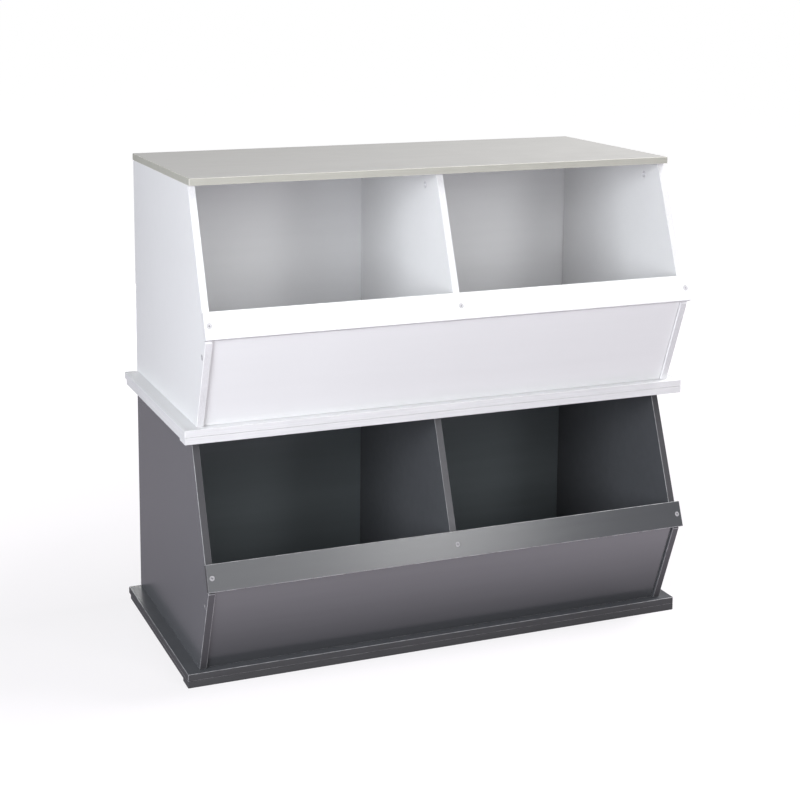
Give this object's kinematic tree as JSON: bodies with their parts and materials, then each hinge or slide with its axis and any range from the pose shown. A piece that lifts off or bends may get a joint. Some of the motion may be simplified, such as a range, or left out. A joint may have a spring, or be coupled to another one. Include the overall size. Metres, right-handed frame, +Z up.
{
  "type": "stacking storage bin unit",
  "caption": "Stack of open storage bins with angled fronts, each with a divider, a leaning bin front and a rail; the upper unit has a flat top and lifts off the pegs.",
  "frame": {"origin": "on the floor under the middle of the whole stack's box", "axes": "+X runs along the width, towards the right end seen from the front; -Y is the open front; +Z is up"},
  "size_m": [0.926, 0.4654, 0.84],
  "materials": {
    "charcoal_laminate": "satin melamine on board",
    "charcoal_back_panel": "satin painted board",
    "white_laminate": "satin melamine on board",
    "white_back_panel": "satin painted board",
    "taupe_laminate": "matt melamine with a fine grain",
    "zinc_plated_steel": "zinc plated",
    "beech_dowel": "raw fluted beech"
  },
  "bodies": {
    "lower_unit": {"lower_back_panel": "charcoal_back_panel", "lower_base_board": "charcoal_laminate", "lower_base_screw_centre": "zinc_plated_steel", "lower_base_screw_left_front": "zinc_plated_steel", "lower_base_screw_left_rear": "zinc_plated_steel", "lower_base_screw_right_front": "zinc_plated_steel", "lower_base_screw_right_rear": "zinc_plated_steel", "lower_bin_front": "charcoal_laminate", "lower_bin_front_dowel_left": "beech_dowel", "lower_bin_front_dowel_right": "beech_dowel", "lower_bin_front_screw_left": "zinc_plated_steel", "lower_bin_front_screw_right": "zinc_plated_steel", "lower_divider": "charcoal_laminate", "lower_front_rail": "charcoal_laminate", "lower_plinth_back": "charcoal_laminate", "lower_plinth_front": "charcoal_laminate", "lower_plinth_left": "charcoal_laminate", "lower_plinth_right": "charcoal_laminate", "lower_rail_screw_centre": "zinc_plated_steel", "lower_rail_screw_left": "zinc_plated_steel", "lower_rail_screw_right": "zinc_plated_steel", "lower_side_left": "charcoal_laminate", "lower_side_right": "charcoal_laminate", "lower_stacking_peg_left_front": "zinc_plated_steel", "lower_stacking_peg_left_rear": "zinc_plated_steel", "lower_stacking_peg_right_front": "zinc_plated_steel", "lower_stacking_peg_right_rear": "zinc_plated_steel"},
    "upper_unit": {"upper_back_panel": "white_back_panel", "upper_base_board": "white_laminate", "upper_base_screw_centre": "zinc_plated_steel", "upper_base_screw_left_front": "zinc_plated_steel", "upper_base_screw_left_rear": "zinc_plated_steel", "upper_base_screw_right_front": "zinc_plated_steel", "upper_base_screw_right_rear": "zinc_plated_steel", "upper_bin_front": "white_laminate", "upper_bin_front_dowel_left": "beech_dowel", "upper_bin_front_dowel_right": "beech_dowel", "upper_bin_front_screw_left": "zinc_plated_steel", "upper_bin_front_screw_right": "zinc_plated_steel", "upper_cam_bolt_centre": "zinc_plated_steel", "upper_cam_bolt_left": "zinc_plated_steel", "upper_cam_bolt_right": "zinc_plated_steel", "upper_cam_centre": "zinc_plated_steel", "upper_cam_left": "zinc_plated_steel", "upper_cam_right": "zinc_plated_steel", "upper_divider": "white_laminate", "upper_front_rail": "white_laminate", "upper_plinth_back": "white_laminate", "upper_plinth_front": "white_laminate", "upper_plinth_left": "white_laminate", "upper_plinth_right": "white_laminate", "upper_rail_screw_centre": "zinc_plated_steel", "upper_rail_screw_left": "zinc_plated_steel", "upper_rail_screw_right": "zinc_plated_steel", "upper_side_left": "white_laminate", "upper_side_right": "white_laminate", "upper_top_board": "taupe_laminate", "upper_top_dowel_left": "beech_dowel", "upper_top_dowel_right": "beech_dowel"}
  },
  "joints": [
    {"name": "upper_unit_lift", "type": "slide", "parent": "lower_unit", "child": "upper_unit", "axis": [0, 0, 1], "range_m": [0, 0.15]}
  ]
}
